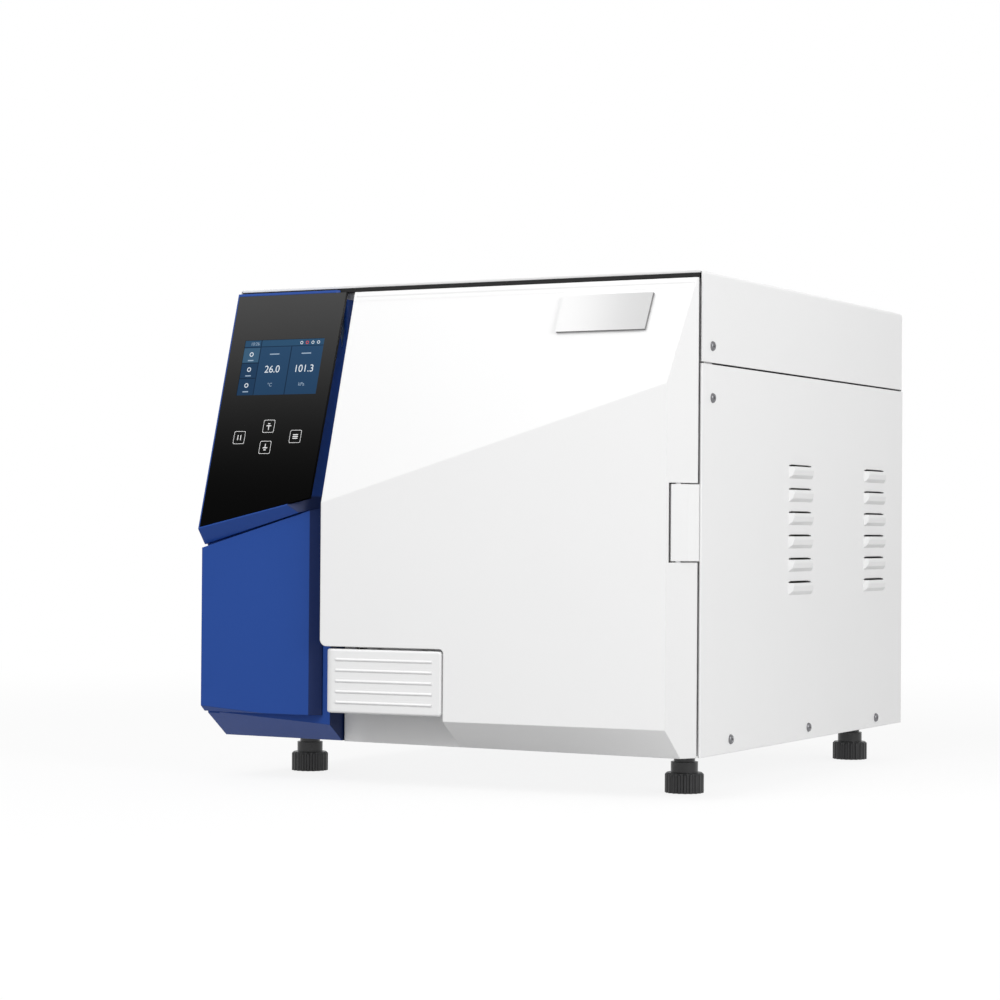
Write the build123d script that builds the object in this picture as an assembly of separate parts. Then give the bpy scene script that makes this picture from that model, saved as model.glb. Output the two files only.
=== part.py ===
import os
from math import atan, cos, hypot, sin, tan, radians, degrees, pi

from build123d import *

# Bench-top steam steriliser with a side-hinged front door. Millimetres, +Z up, +Y to the rear.
# Every solid is drawn with y = 0 on the cabinet's front plane and moved to the middle when saved.

# Cabinet
cabinet_width = 457.0
cabinet_depth = 476.0
cabinet_height = 400.0
foot_height = 35.0
sheet = 1.2
cover_height = 75.0
cover_joint = 1.5
hem_depth = 12.0
fit_gap = 0.3

# Front mouldings
lip_reach = 63.0
rear_reach = 14.0
lean = 15.88
top_setback = 2.2
moulding_wall = 3.0

# Door
door_left = -104.5
door_right = 226.5
door_head_gap = 6.2
door_back = 2.5
door_face_left = 56.9
face_turn = 5.09
bevel_width = 16.5
bevel_depth = 26.4
chamfer_rise = 23.5
chamfer_foot = 16.0
recess_right = 12.0
recess_top = 84.5
recess_round = 4.0
corner_round = 6.0
liner_thick = 3.0
open_angle = 105.0

# Door hinge
hinge_x = 211.0
hinge_y = -10.0
hinge_low = 161.0
hinge_high = 224.0
hinge_pin_r = 4.0
knuckle_r = 5.8
knuckle_long = 14.0
running = 0.05

# Chamber
chamber_x = 58.0
chamber_z = 201.0
chamber_r = 123.5
chamber_wall = 2.5
chamber_long = 340.0
dish_deep = 32.0
flange_r = 143.0
flange_thick = 14.0
flange_front = 8.0
frame_front = 9.0
frame_sheet = 1.5
gasket_thick = 5.7
seal_gap = 0.3
press_r = 138.0
press_thick = 10.0

# Handle
handle_left = -100.0
handle_right = 10.5
handle_low = 27.5
handle_high = 82.5
handle_wall = 3.5
handle_pin_r = 2.0
pivot_drop = 5.0
pivot_deep = 8.0
rib_count = 5
latch_travel = 9.8
handle_angle = 15.0
latch_x = -88.0

# Controls on the left
housing_right = -105.9
glass_thick = 3.0
window_left = -212.0
window_right = -128.3
window_low = 303.6
window_high = 353.2
lip_left_z = 184.0
lip_slope = 0.2356
groove_rise = 0.31
flap_top_left = 168.1
flap_low = 23.7
flap_thick = 8.0
flap_face_left = 57.2
flap_angle = 90.0

# Louvres
louvre_long = 54.0
louvre_high = 10.6
louvre_out = 4.4
louvre_slot = 1.6
louvre_rows = 6
louvre_pitch = 20.6
louvre_top_row = 243.4
louvre_columns = (186.0, 371.0)

# Feet
foot_x = 188.0
foot_front_y = 58.0
foot_rear_y = 443.0
foot_r = 16.5
flute_count = 20
flute_r = 1.7
stud_r = 5.1

# Rear and top
fan_r = 58.0
fan_x = -150.0
fan_z = 230.0
blade_count = 7
lid_wide = 120.0
lid_deep = 90.0
lid_x = -140.0
lid_y = 150.0
lid_thick = 3.0
lid_rear_gap = 1.5

# Worked out from the above
base_z = foot_height
top_z = base_z + cabinet_height
half_w = cabinet_width / 2
side_in = half_w - sheet
split_z = top_z - cover_height
door_top = top_z - door_head_gap
lean_rise = tan(radians(lean))
turn = tan(radians(face_turn))
frame_shift = (lip_reach - rear_reach - cabinet_depth) / 2
front_z = Plane(origin=(0, -top_setback, top_z), x_dir=(1, 0, 0),
                z_dir=(0, -cos(radians(lean)), sin(radians(lean))))
corner_x = door_right - bevel_width
rear_y = cabinet_depth
axis_z = base_z + chamber_z

os.makedirs("parts", exist_ok=True)


def save(name, *solids):
    """Writes one node, moved so that the origin is below the middle of the whole machine."""
    group = [Pos(0, frame_shift, 0) * s for one in solids for s in one.solids()]
    shape = group[0] if len(group) == 1 else Compound(children=group)
    export_step(shape, f"parts/{name}.step")


def block(x0, x1, y0, y1, z0, z1):
    """A block between two opposite corners."""
    return Pos((x0 + x1) / 2, (y0 + y1) / 2, (z0 + z1) / 2) * Box(x1 - x0, y1 - y0, z1 - z0)


def beyond(point, normal, size=1500):
    """All the space on the far side of a plane, as one large block."""
    return Plane(origin=point, z_dir=normal) * Box(size, size, size, align=(Align.CENTER, Align.CENTER, Align.MIN))


def prism(points, z0, z1):
    """An upright prism on a plan outline."""
    face = make_face(Polyline(*[(x, y, z0) for x, y in points], close=True))
    return extrude(face, amount=z1 - z0, dir=(0, 0, 1))


def side_prism(points, x0, x1):
    """A prism along X on an outline of (y, z) points."""
    face = make_face(Polyline(*[(x0, y, z) for y, z in points], close=True))
    return extrude(face, amount=x1 - x0, dir=(1, 0, 0))


def rod_y(x, z, r, y0, y1):
    """A round bar from front to rear."""
    return Pos(x, (y0 + y1) / 2, z) * Rot(90, 0, 0) * Cylinder(r, y1 - y0)


def rod_z(x, y, r, z0, z1):
    """An upright round bar."""
    return Pos(x, y, (z0 + z1) / 2) * Cylinder(r, z1 - z0)


def rod_x(y, z, r, x0, x1):
    """A round bar from left to right."""
    return Pos((x0 + x1) / 2, y, z) * Rot(0, 90, 0) * Cylinder(r, x1 - x0)


def face_y(x, inset=0.0):
    """The door's lower face: it stands further out at the left than at the right."""
    return -door_face_left + turn * (x - door_left) + inset / cos(radians(face_turn))


def lean_front(inset=0.0):
    """Everything in front of the leaning plane of the upper face and the glass."""
    back = inset / cos(radians(lean))
    return beyond((0, -top_setback + back, top_z), (0, -1, lean_rise))


def bevel_front(inset=0.0):
    """Everything outside the door's right-hand bevel."""
    long = hypot(bevel_width, bevel_depth)
    out_x, out_y = bevel_depth / long, -bevel_width / long
    return beyond((door_right - inset * out_x, -door_back - inset * out_y, 0), (out_x, out_y, 0))


# Door

def door_block(inset):
    """The door's outer form, or the same drawn inwards by a wall."""
    low = base_z + inset
    x0, x1 = door_left + inset, door_right - inset
    body = block(x0, x1, -90, -door_back, low, door_top - inset)
    body -= beyond((0, face_y(0, inset), 0), (turn, -1, 0))
    body -= bevel_front(inset)
    return body - lean_front(inset)


def chamfer_cut():
    """The wedge taken off the door's bottom edge, wider at the left than at the right."""
    foot_x1 = door_right - (chamfer_foot - door_back) * bevel_width / bevel_depth
    low = Polyline((door_left - 5, -chamfer_foot, base_z), (foot_x1 + 30, -chamfer_foot, base_z),
                   (foot_x1 + 30, -90, base_z), (door_left - 5, -90, base_z), close=True)
    z1 = base_z + chamfer_rise
    high = Polyline((door_left - 5, face_y(door_left - 5), z1), (foot_x1 + 30, face_y(foot_x1 + 30), z1),
                    (foot_x1 + 30, -90, z1), (door_left - 5, -90, z1), close=True)
    return loft([make_face(low), make_face(high)], ruled=True)


def hinge_window(gap):
    """The space that the door leaves round its fixed hinge block."""
    z0, z1 = base_z + hinge_low - gap, base_z + hinge_high + gap
    swept = rod_z(hinge_x, hinge_y, 16.4, z0, z1)
    return swept + block(hinge_x + 1, half_w, hinge_y - 2, 10, z0, z1)


def make_door_shell():
    """The door's outer moulding: an open shell with a bevel, a chamfer and a corner for the handle."""
    recess = block(door_left - 5, recess_right, -90, -chamfer_foot, base_z - 5, base_z + recess_top)
    recess = fillet(recess.edges().filter_by(Axis.Y).group_by(Axis.X)[-1].group_by(Axis.Z)[-1], recess_round)
    recess_wall = block(door_left - 5, recess_right + moulding_wall, -90, -chamfer_foot + moulding_wall,
                        base_z - 5, base_z + recess_top + moulding_wall)
    inside = door_block(moulding_wall)
    inside += block(door_left + moulding_wall, door_right - moulding_wall, -door_back - liner_thick,
                    0, base_z + moulding_wall, door_top - moulding_wall)
    inside -= block(-300, 300, -90, -chamfer_foot + moulding_wall, 0, base_z + chamfer_rise + moulding_wall)
    inside -= recess_wall
    shell = door_block(0) - chamfer_cut() - recess - inside - hinge_window(1.0)
    arm_slot = block(latch_x - 6, latch_x + 6, -chamfer_foot - 1, -chamfer_foot + moulding_wall + 1,
                     base_z + handle_high - pivot_drop - 17, base_z + handle_high - pivot_drop + 5)
    corner = block(door_left - 1, door_left + corner_round, -90, 0, base_z + recess_top - 1,
                   base_z + recess_top + corner_round)
    corner -= rod_y(door_left + corner_round, base_z + recess_top + corner_round, corner_round, -91, 1)
    return shell - arm_slot - corner


def make_door_liner():
    """The flat inner cover of the door, open for the pressure plate, the hinge and the latch."""
    x0, x1 = door_left + moulding_wall, door_right - moulding_wall
    plate = block(x0 + 0.2, x1 - 0.2, -door_back - liner_thick, -door_back,
                  base_z + moulding_wall + 0.2, door_top - moulding_wall - 0.2)
    plate -= rod_y(chamber_x, axis_z, press_r + 3, -20, 20)
    plate -= block(193, 300, -20, 20, base_z + hinge_low - knuckle_long - 5, base_z + hinge_high + knuckle_long + 5)
    plate -= block(latch_x - 6, latch_x + 6, -20, 20, base_z + latch_z0 - 12, base_z + latch_z0 + 9)
    return plate - rod_y(lock_x, lock_z, lock_r + 1, -20, 20)


latch_z0 = 97.0
lock_x = -90.0
lock_z = base_z + 255.0
lock_r = 4.0
lock_travel = 14.0


def make_press_plate():
    """The dished pressure door: a thick rim and a domed middle, turned in one piece."""
    rim = press_thick
    back = flange_front - seal_gap - gasket_thick
    outline = Polyline((0, back - 2), (press_r * 0.72, back - 2), (press_r * 0.80, back), (press_r, back),
                       (press_r, back - rim), (press_r * 0.86, back - rim), (press_r * 0.62, back - rim - 2),
                       (22, back - rim - 2), (22, back - rim - 4), (0, back - rim - 4), close=True)
    return Pos(chamber_x, 0, axis_z) * revolve(make_face(outline), Axis.Y)


def make_gasket():
    """The silicone ring that seals against the chamber flange."""
    front = flange_front - seal_gap - gasket_thick
    ring = Circle(chamber_r + 13) - Circle(chamber_r + 3)
    ring = extrude(Plane.XZ * ring, amount=-gasket_thick)
    lip = chamfer(ring.edges().filter_by(GeomType.CIRCLE).group_by(Axis.Y)[-1], 1.5)
    return Pos(chamber_x, front, axis_z) * lip


arm_back = -14.0
arm_thick = 6.0


def make_cross_arm():
    """The steel arm that carries the pressure door: a fork at the hinge and a boss at the centre."""
    y0, y1 = arm_back - arm_thick, arm_back
    z0, z1 = base_z + hinge_low, base_z + hinge_high
    plate = block(chamber_x, 191, y0, y1, axis_z - 30, axis_z + 30) + rod_y(chamber_x, axis_z, 34, y0, y1)
    fork = block(150, 191, y0, y1, z0 - knuckle_long - 1, z1 + knuckle_long + 1)
    arm = plate + fork - rod_y(chamber_x, axis_z, 8 + running, y0 - 1, y1 + 1)
    for low in (z0 - knuckle_long - 1, z1 + 1):
        ear = block(190, hinge_x, hinge_y - 5.5, hinge_y - 1, low, low + knuckle_long)
        ear += rod_z(hinge_x, hinge_y, knuckle_r, low, low + knuckle_long)
        arm += ear - rod_z(hinge_x, hinge_y, hinge_pin_r + running, low - 1, low + knuckle_long + 1)
    return arm


def make_centre_stud():
    """The threaded stud and nut that hold the pressure door to the arm."""
    plate_front = flange_front - seal_gap - gasket_thick - press_thick - 4
    stud = rod_y(chamber_x, axis_z, 8, arm_back - arm_thick - 4, plate_front)
    nut = extrude(Plane.XZ.offset(-(arm_back - arm_thick - 4)) * RegularPolygon(12, 6), amount=-4)
    return Pos(chamber_x, 0, axis_z) * nut + stud


def make_hinge_bracket():
    """The fixed hinge block on the front frame, which fills the window in the door's bevel."""
    z0, z1 = base_z + hinge_low + 2, base_z + hinge_high - 2
    solid = prism([(203, 6), (203, -6), (206.5, -14), (212.2, -19.5), (218.4, -11.7), (221.6, -5.5), (217, 1),
                   (217, 6)], z0, z1)
    solid += block(203, 224, 6, frame_front, z0, z1)
    return solid - rod_z(hinge_x, hinge_y, hinge_pin_r + 0.02, z0 - 1, z1 + 1)


def make_hinge_cover():
    """The moulded cap over the hinge block, seen as a panel in the door's bevel."""
    z0, z1 = base_z + hinge_low, base_z + hinge_high
    outer = prism([(209.0, -21.3), (212.6, -24.6), (222.4, -11.9), (226.9, -2.9), (226.9, -0.4), (220, -0.4),
                   (218.4, -6)], z0, z1)
    core = prism([(203, 6), (203, -6), (206.5, -14), (212.2, -19.5), (218.4, -11.7), (221.6, -5.5), (217, 1),
                  (217, 6)], z0 - 1, z1 + 1)
    return outer - core


# Handle and latch. The handle is drawn along the turned lower face and then turned into place.

handle_turn = Pos(handle_left, face_y(handle_left), 0) * Rot(0, 0, face_turn)
handle_long = (handle_right - handle_left) / cos(radians(face_turn))
pivot_z = base_z + handle_high - pivot_drop
ear_places = (34.0, 80.0)
arm_long = 47.0


def make_handle():
    """The ribbed paddle, with a rolled left end, ears on its pivot pin and an arm to the latch."""
    z0, z1 = base_z + handle_low, base_z + handle_high
    deep = 16.0
    outer = block(0, handle_long, 0, deep, z0, z1)
    outer = fillet(outer.edges().filter_by(Axis.Z).group_by(Axis.Y)[0].sort_by(Axis.X)[0], 8)
    outer = fillet(outer.edges().filter_by(Axis.Y).group_by(Axis.X)[-1], 3.0)
    outer = fillet(outer.edges().group_by(Axis.Y)[0].sort_by(Axis.Z)[-1], 2.0)
    inner = block(handle_wall, handle_long + 1, handle_wall, deep + 1, z0 - 1, z1 + 1)
    inner = fillet(inner.edges().filter_by(Axis.Z).group_by(Axis.Y)[0].sort_by(Axis.X)[0], 5)
    paddle = outer - inner
    step = (z1 - z0) / (rib_count + 1)
    for i in range(rib_count):
        rib = rod_x(0.4, z0 + step * (i + 1), 1.2, 11, handle_long - 9)
        paddle += rib
    for x in ear_places:
        for side in (-5.0, 5.0):
            ear = block(x + side - 2, x + side + 2, handle_wall - 0.5, pivot_deep + 1, pivot_z - 4, pivot_z + 3)
            ear += rod_x(pivot_deep, pivot_z, 4.0, x + side - 2, x + side + 2)
            paddle += ear
    arm_x = (latch_x - handle_left + arm_long * sin(radians(face_turn))) / cos(radians(face_turn))
    paddle += block(arm_x - 3, arm_x + 3, handle_wall - 0.5, arm_long, pivot_z - 3, pivot_z + 3)
    paddle -= rod_x(pivot_deep, pivot_z, handle_pin_r + running, ear_places[0] - 9, ear_places[-1] + 9)
    return handle_turn * paddle


def make_handle_bracket():
    """Two steel ears that stand forward from the recess wall and hold the pivot pin."""
    solid = None
    for x in ear_places:
        ear = block(x - 2.7, x + 2.7, pivot_deep, 46, pivot_z - 3.8, pivot_z + 3.8)
        ear += rod_x(pivot_deep, pivot_z, 3.8, x - 2.7, x + 2.7)
        ear -= rod_x(pivot_deep, pivot_z, handle_pin_r + 0.02, x - 4, x + 4)
        solid = ear if solid is None else solid + ear
    return handle_turn * solid - block(-200, 100, -chamfer_foot, 60, 0, 400)


def make_handle_pins():
    """The pivot pins of the handle, one through each pair of ears."""
    return [handle_turn * rod_x(pivot_deep, pivot_z, handle_pin_r, x - 7.5, x + 7.5) for x in ear_places]


rod_front = -12.4
rod_back = -7.6


def make_latch_bolt():
    """The upright latch slide with its beak, which reaches through the liner to the strike."""
    z_beak = base_z + latch_z0
    z_low = pivot_z - 9
    bolt = block(latch_x - 5, latch_x + 5, rod_front, rod_back, z_low, z_beak + 14)
    bolt -= block(latch_x - 3.6, latch_x + 3.6, rod_front - 1, rod_back + 1, pivot_z - 4.2, pivot_z + 4.2)
    bolt += block(latch_x - 4, latch_x + 4, rod_back - 1, 15, z_beak, z_beak + 6)
    return bolt + block(latch_x - 4, latch_x + 4, 12, 15, z_beak + 5, z_beak + 8)


def make_latch_guide():
    """A channel on the liner that the latch slide runs in."""
    z_beak = base_z + latch_z0
    back = -door_back - liner_thick
    channel = block(latch_x - 8, latch_x + 8, rod_front - 0.4, back, z_beak + 10, z_beak + 24)
    return channel - block(latch_x - 5.3, latch_x + 5.3, rod_front - 2, rod_back + 0.4, z_beak, z_beak + 40)


def make_strike():
    """The slotted plate on the front frame that the beak enters."""
    z_beak = base_z + latch_z0
    plate = block(latch_x - 11, latch_x + 11, frame_front - 2, frame_front, z_beak - 18, z_beak + 16)
    return plate - block(latch_x - 6, latch_x + 6, 0, 40, z_beak - 11.5, z_beak + 9.2)


def make_lock_pin():
    """The motor lock's pin, drawn back while the machine is idle."""
    return rod_y(lock_x, lock_z, lock_r, frame_front - 0.8, 60)


def make_lock_motor():
    """The lock's gear motor, with the sleeve that guides the pin."""
    back = frame_front + frame_sheet
    body = block(lock_x - 28, lock_x + 8, back, back + 55, lock_z - 14, lock_z + 14)
    return body - rod_y(lock_x, lock_z, lock_r + running, 0, 60.5)


# Control housing

def flap_y(x, inset=0.0):
    """The front of the service flap, turned like the door's lower face."""
    return -flap_face_left + turn * (x + half_w) + inset


def lip_z(x):
    """The lower edge of the glass field."""
    return base_z + lip_left_z + lip_slope * (x + half_w)


def side_bevel(inset=0.0):
    """The bevel on the housing's right-hand edge."""
    return beyond((housing_right - 8.2 - inset, -30, 240), (1, -0.9, 0.18))


def housing_block(inset):
    """The outer form of the control housing, or the same drawn inwards by a wall."""
    x0, x1 = -half_w + inset, housing_right - inset
    body = block(x0, x1, -90, -0.5 - inset, base_z + 0.5 + inset, top_z - 3.5 - inset)
    body -= lean_front(inset)
    back = flap_y(0, flap_thick + 0.6 + inset * 1.02)
    lower = beyond((0, back, 0), (turn, -1, 0))
    edge_l, edge_r = -half_w - 1, housing_right + 1
    under = inset * 1.1
    ledge = prism_xz([(edge_l, lip_z(edge_l) - 13 + under), (edge_r, lip_z(edge_r) - 6 + under),
                      (edge_r, -10), (edge_l, -10)], -120, 0)
    body -= ledge & lower
    nose = beyond((-half_w, -lip_reach + inset, lip_z(-half_w)), (0.2, -0.8, -0.62))
    strip = prism_xz([(edge_l, lip_z(edge_l) - 14), (edge_r, lip_z(edge_r) - 7), (edge_r, lip_z(edge_r) + 9),
                      (edge_l, lip_z(edge_l) + 9)], -120, -40)
    body -= nose & strip
    chamfer_top = base_z + flap_low
    body -= beyond((0, flap_y(-half_w, flap_thick + 0.6) + inset, chamfer_top), (0, -23.6, -31.6))
    return body


def prism_xz(points, y0, y1):
    """A prism from front to rear on an outline of (x, z) points."""
    face = make_face(Polyline(*[(x, y0, z) for x, z in points], close=True))
    return extrude(face, amount=y1 - y0, dir=(0, 1, 0))


def glass_points(grow=0.0):
    """The outline of the glass on the leaning plane, as (x, distance down the slope)."""
    def down(z):
        return (z - top_z) / cos(radians(lean))
    left, right_top, right_low = -half_w + 1.6, -113.4, -117.0
    return [(left - grow, down(top_z - 6.0) + grow), (right_top + grow, down(top_z - 6.0) + grow),
            (right_low + grow, down(lip_z(right_low) + 2.0) - grow), (left - grow, down(lip_z(left) + 2.0) - grow)]


def make_control_housing():
    """The blue moulding: a leaning field for the glass above a bay that the service flap closes."""
    body = housing_block(0) - side_bevel()
    inside = housing_block(moulding_wall) - side_bevel(moulding_wall * 1.5)
    inside -= block(-half_w, bay_left - 4, -90, flap_y(-half_w, flap_thick + 10), 0, split_z)
    x0, x1 = -half_w + moulding_wall + 1.3, housing_right - moulding_wall - 5
    rim = block(x0, x1, -2, frame_front, base_z + 14, top_z - 12)
    shell = body - inside + rim
    shell -= block(x0 + 3, x1 - 3, -5, frame_front + 1, base_z + 17, top_z - 15)
    pocket = extrude(front_z * make_face(Polyline(*glass_points(0.2), close=True)), amount=-(glass_thick - 0.4))
    well = extrude(front_z * make_face(Polyline(*window_points(4.0), close=True)), amount=-14)
    bay = block(bay_left, bay_right, -80, -10, base_z + bay_low, base_z + bay_high)
    shell = shell - pocket - well - bay
    for z in flap_pivots:
        ear = block(flap_pin_x + 0.6, flap_pin_x + 7, flap_pin_y, flap_y(-half_w, flap_thick + 2.0), z - 5, z + 5)
        ear += rod_z(flap_pin_x, flap_pin_y, 3.2, z - 5, z + 5)
        shell += ear
        shell -= rod_z(flap_pin_x, flap_pin_y, 1.52, z - 6, z + 6)
    return shell - relief_cut()


bay_left = -204.0
bay_right = -126.0
bay_low = 42.0
bay_high = 150.0
flap_pin_x = -223.4
flap_pin_y = -53.4
flap_pivots = (base_z + 55.0, base_z + 135.0)


def relief_cut():
    """A small step that the flap's hinged edge turns in."""
    return block(-half_w - 1, flap_pin_x + 8, flap_pin_y, flap_pin_y + 7.4, base_z, base_z + 170) \
        - block(flap_pin_x + 0.6, flap_pin_x + 7, -90, 0, flap_pivots[0] - 5, flap_pivots[0] + 5) \
        - block(flap_pin_x + 0.6, flap_pin_x + 7, -90, 0, flap_pivots[1] - 5, flap_pivots[1] + 5) \
        - rod_z(flap_pin_x, flap_pin_y, 3.2, flap_pivots[0] - 5, flap_pivots[0] + 5) \
        - rod_z(flap_pin_x, flap_pin_y, 3.2, flap_pivots[1] - 5, flap_pivots[1] + 5)


def window_points(grow=0.0):
    """The outline of the display on the leaning plane."""
    def down(z):
        return (base_z + z - top_z) / cos(radians(lean))
    return [(window_left - grow, down(window_high) + grow), (window_right + grow, down(window_high) + grow),
            (window_right + grow, down(window_low) - grow), (window_left - grow, down(window_low) - grow)]


def make_glass():
    """The black glass, with the window that the display looks through."""
    sheet_face = front_z * make_face(Polyline(*glass_points(), close=True))
    plate = extrude(sheet_face, amount=0.4) + extrude(sheet_face, amount=-(glass_thick - 0.4))
    window = extrude(front_z * make_face(Polyline(*window_points(0.1), close=True)), amount=10, both=True)
    return plate - window


def make_display():
    """The display module: its face in the window and its frame behind the glass."""
    face = extrude(front_z * make_face(Polyline(*window_points(), close=True)), amount=-glass_thick)
    module = extrude(front_z.offset(-glass_thick + 0.4) * make_face(Polyline(*window_points(3.6), close=True)),
                     amount=-7)
    return face + module


def make_flap():
    """The service flap: a hollow-backed front plate with a bevelled right edge and two pivots."""
    left, right = -half_w, housing_right - 6.4
    z0 = base_z + flap_low
    top_l, top_r = base_z + flap_top_left, base_z + flap_top_left + groove_rise * (right - left)
    front = beyond((left, flap_y(left), 0), (turn, -1, 0))
    back = beyond((left, flap_y(left, flap_thick), 0), (-turn, 1, 0))
    body = prism_xz([(left, z0), (right, z0), (right, top_r), (left, top_l)], -80, 0) - front - back
    body -= beyond((right - 9.5, flap_y(right - 9.5), 0), (1, -1, 0))
    body -= beyond((0, flap_y(left), z0 + 5), (0, -1, -1.15))
    hollow = prism_xz([(left + 12, z0 + 9), (right - 12, z0 + 9), (right - 12, top_r - 9),
                       (left + 12, top_l - 4)], -80, 0) - beyond((left, flap_y(left, 2.6), 0), (turn, -1, 0))
    body -= hollow
    for z in flap_pivots:
        notch = block(left - 1, flap_pin_x + 7.6, flap_pin_y - 0.2, -20, z - 5.4, z + 5.4)
        notch += rod_z(flap_pin_x, flap_pin_y, 3.6, z - 5.4, z + 5.4)
        body -= notch
        body -= rod_z(flap_pin_x, flap_pin_y, 1.5 + running, z - 16, z + 16)
    return body


def make_flap_pins():
    """The two pins that the flap turns on."""
    return [rod_z(flap_pin_x, flap_pin_y, 1.5, z - 15, z + 15) for z in flap_pivots]


# Cabinet

def louvre(side, y0, z_top, inner):
    """One pressed louvre: a hood that is open along its top edge and dies away at its ends."""
    w = sheet if inner else 0.0
    out = louvre_out - w
    root = side * (half_w - 0.6 if not inner else half_w - 3.0)
    tip = side * (half_w + out)
    mid = side * (half_w + out * 0.72)
    edge = side * half_w if not inner else side * (half_w - sheet * 0.5)
    hood = make_face(Polyline((root, y0, z_top + w), (tip, y0, z_top + w), (tip, y0, z_top - 3.0),
                              (mid, y0, z_top - 7.5 + w), (edge, y0, z_top - louvre_high + w),
                              (root, y0, z_top - louvre_high + w), close=True))
    hood = extrude(hood, amount=louvre_long - 2 * w, dir=(0, 1, 0))
    hood = Pos(0, w, 0) * hood
    run = 9.0
    hood -= beyond((side * half_w, y0 + w, 0), (side * run, -run * 1.2, 0))
    return hood - beyond((side * half_w, y0 + louvre_long - w, 0), (side * run, run * 0.8, 0))


def make_side_panel(side):
    """A folded side sheet: hemmed front edge, top and rear flanges and two columns of louvres."""
    s = side
    x_out, x_in = half_w, side_in
    zt = split_z - cover_joint
    lo, hi = sorted((s * x_in, s * x_out))
    panel = block(lo, hi, 0, rear_y - sheet, base_z, zt)
    lo, hi = sorted((s * (x_in - sheet), s * x_in))
    panel += block(lo, hi, 0, hem_depth, base_z, zt)
    lo, hi = sorted((s * (x_in - 12), s * x_in))
    panel += block(lo, hi, 26, rear_y - sheet, zt - sheet, zt)
    front_edge = panel.edges().filter_by(Axis.Z).group_by(Axis.Y)[0]
    panel = fillet(front_edge, 1.0)
    for y0 in louvre_columns:
        for i in range(louvre_rows):
            z_top = base_z + louvre_top_row - louvre_pitch * i
            panel += louvre(s, y0, z_top, False)
            panel -= louvre(s, y0, z_top, True)
            lo, hi = sorted((s * (x_in - 1), s * (half_w + louvre_out - sheet)))
            panel -= block(lo, hi, y0 + 5, y0 + louvre_long - 7, z_top - 1, z_top + louvre_slot)
    return panel


def make_top_cover():
    """The folded top cover: a sheet with side skirts, a short rear skirt and a hemmed front edge."""
    outer = block(-half_w, half_w, 0, rear_y, split_z, top_z)
    outer = fillet(outer.edges().filter_by(Axis.Y).group_by(Axis.Z)[-1], 3.0)
    outer = fillet(outer.edges().filter_by(Axis.X).group_by(Axis.Z)[-1].sort_by(Axis.Y)[-1], 4.0)
    inner = block(-side_in, side_in, -5, rear_y - sheet, split_z - 1, top_z - sheet)
    cover = outer - inner
    cover += block(-side_in + 1, side_in - 1, 0, 8, top_z - 2.0, top_z - sheet)
    cover -= block(-side_in, side_in, rear_y - 6, rear_y + 1, split_z - 1, top_z - 15)
    well = block(lid_x - lid_wide / 2 - 1, lid_x + lid_wide / 2 + 1, lid_y - 1, lid_y + lid_deep + lid_rear_gap,
                 top_z - 5, top_z + 5)
    return cover - well


def make_base_pan():
    """The folded base pan, with a hole for each foot's stud."""
    y0, y1 = hem_depth + fit_gap, rear_y - sheet - 0.1
    pan = block(-side_in, side_in, y0, y1, base_z + 0.5, base_z + 25)
    pan -= block(-side_in + 1.5, side_in - 1.5, y0 + 1.5, y1 - 1.5, base_z + 2, base_z + 30)
    for x, y in foot_places:
        pan -= rod_z(x, y, stud_r + 0.5, base_z - 1, base_z + 5)
    return pan


foot_places = [(-foot_x, foot_front_y), (foot_x, foot_front_y), (-foot_x, foot_rear_y), (foot_x, foot_rear_y)]
foot_names = ("foot_front_left", "foot_front_right", "foot_rear_left", "foot_rear_right")


def make_foot(x, y):
    """A levelling foot: fluted grip, round body and neck, and the stud that screws into the base."""
    grip_high, body_high = 17.0, 26.0
    grip = Circle(foot_r) - PolarLocations(foot_r + 0.3, flute_count) * Circle(flute_r)
    foot = extrude(grip, amount=grip_high)
    foot -= Pos(0, 0, grip_high) * (Cylinder(30, 8) - Cone(foot_r + 2.4, foot_r - 5.6, 8))
    foot += Pos(0, 0, grip_high - 1) * Cylinder(11.5, body_high - grip_high + 1,
                                               align=(Align.CENTER, Align.CENTER, Align.MIN))
    foot += rod_z(0, 0, 9.0, body_high - 1, base_z + 0.2) + rod_z(0, 0, stud_r, base_z, base_z + 22)
    return Pos(x, y, 0) * foot


def make_foot_bushes():
    """The threaded bushes in the base pan."""
    return [rod_z(x, y, 9, base_z + 2, base_z + 14) - rod_z(x, y, stud_r + running, base_z, base_z + 20)
            for x, y in foot_places]


def make_front_frame():
    """The front bulkhead: a sheet with the chamber's mouth, the latch slot and the lock hole."""
    y0, y1 = frame_front, frame_front + frame_sheet
    zt = top_z - 5.6
    frame = block(-half_w + 2.5, half_w - 2.5, y0, y1, base_z + 0.5, zt)
    frame += block(-half_w + 2.5, half_w - 2.5, y0, 25, zt - 1.5, zt)
    for s in (-1, 1):
        lo, hi = sorted((s * (half_w - 4.0), s * (half_w - 2.5)))
        frame += block(lo, hi, y0, 25, base_z + 26, zt)
    frame -= rod_y(chamber_x, axis_z, flange_r + 1.5, 0, 40)
    z_beak = base_z + latch_z0
    frame -= block(latch_x - 7, latch_x + 7, 0, 40, z_beak - 13, z_beak + 10.5)
    return frame - rod_y(lock_x, lock_z, lock_r + 0.5, 0, 40)


def make_trim_strip():
    """The dark strip between the cover's front edge and the door."""
    z0, z1 = top_z - 5.6, top_z - 2.1
    strip = block(door_left, half_w - 2.5, -1.5, 22, z0, z1)
    return strip + block(-half_w + 2.5, door_left + 1, 0.3, 22, z0, z1)


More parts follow.
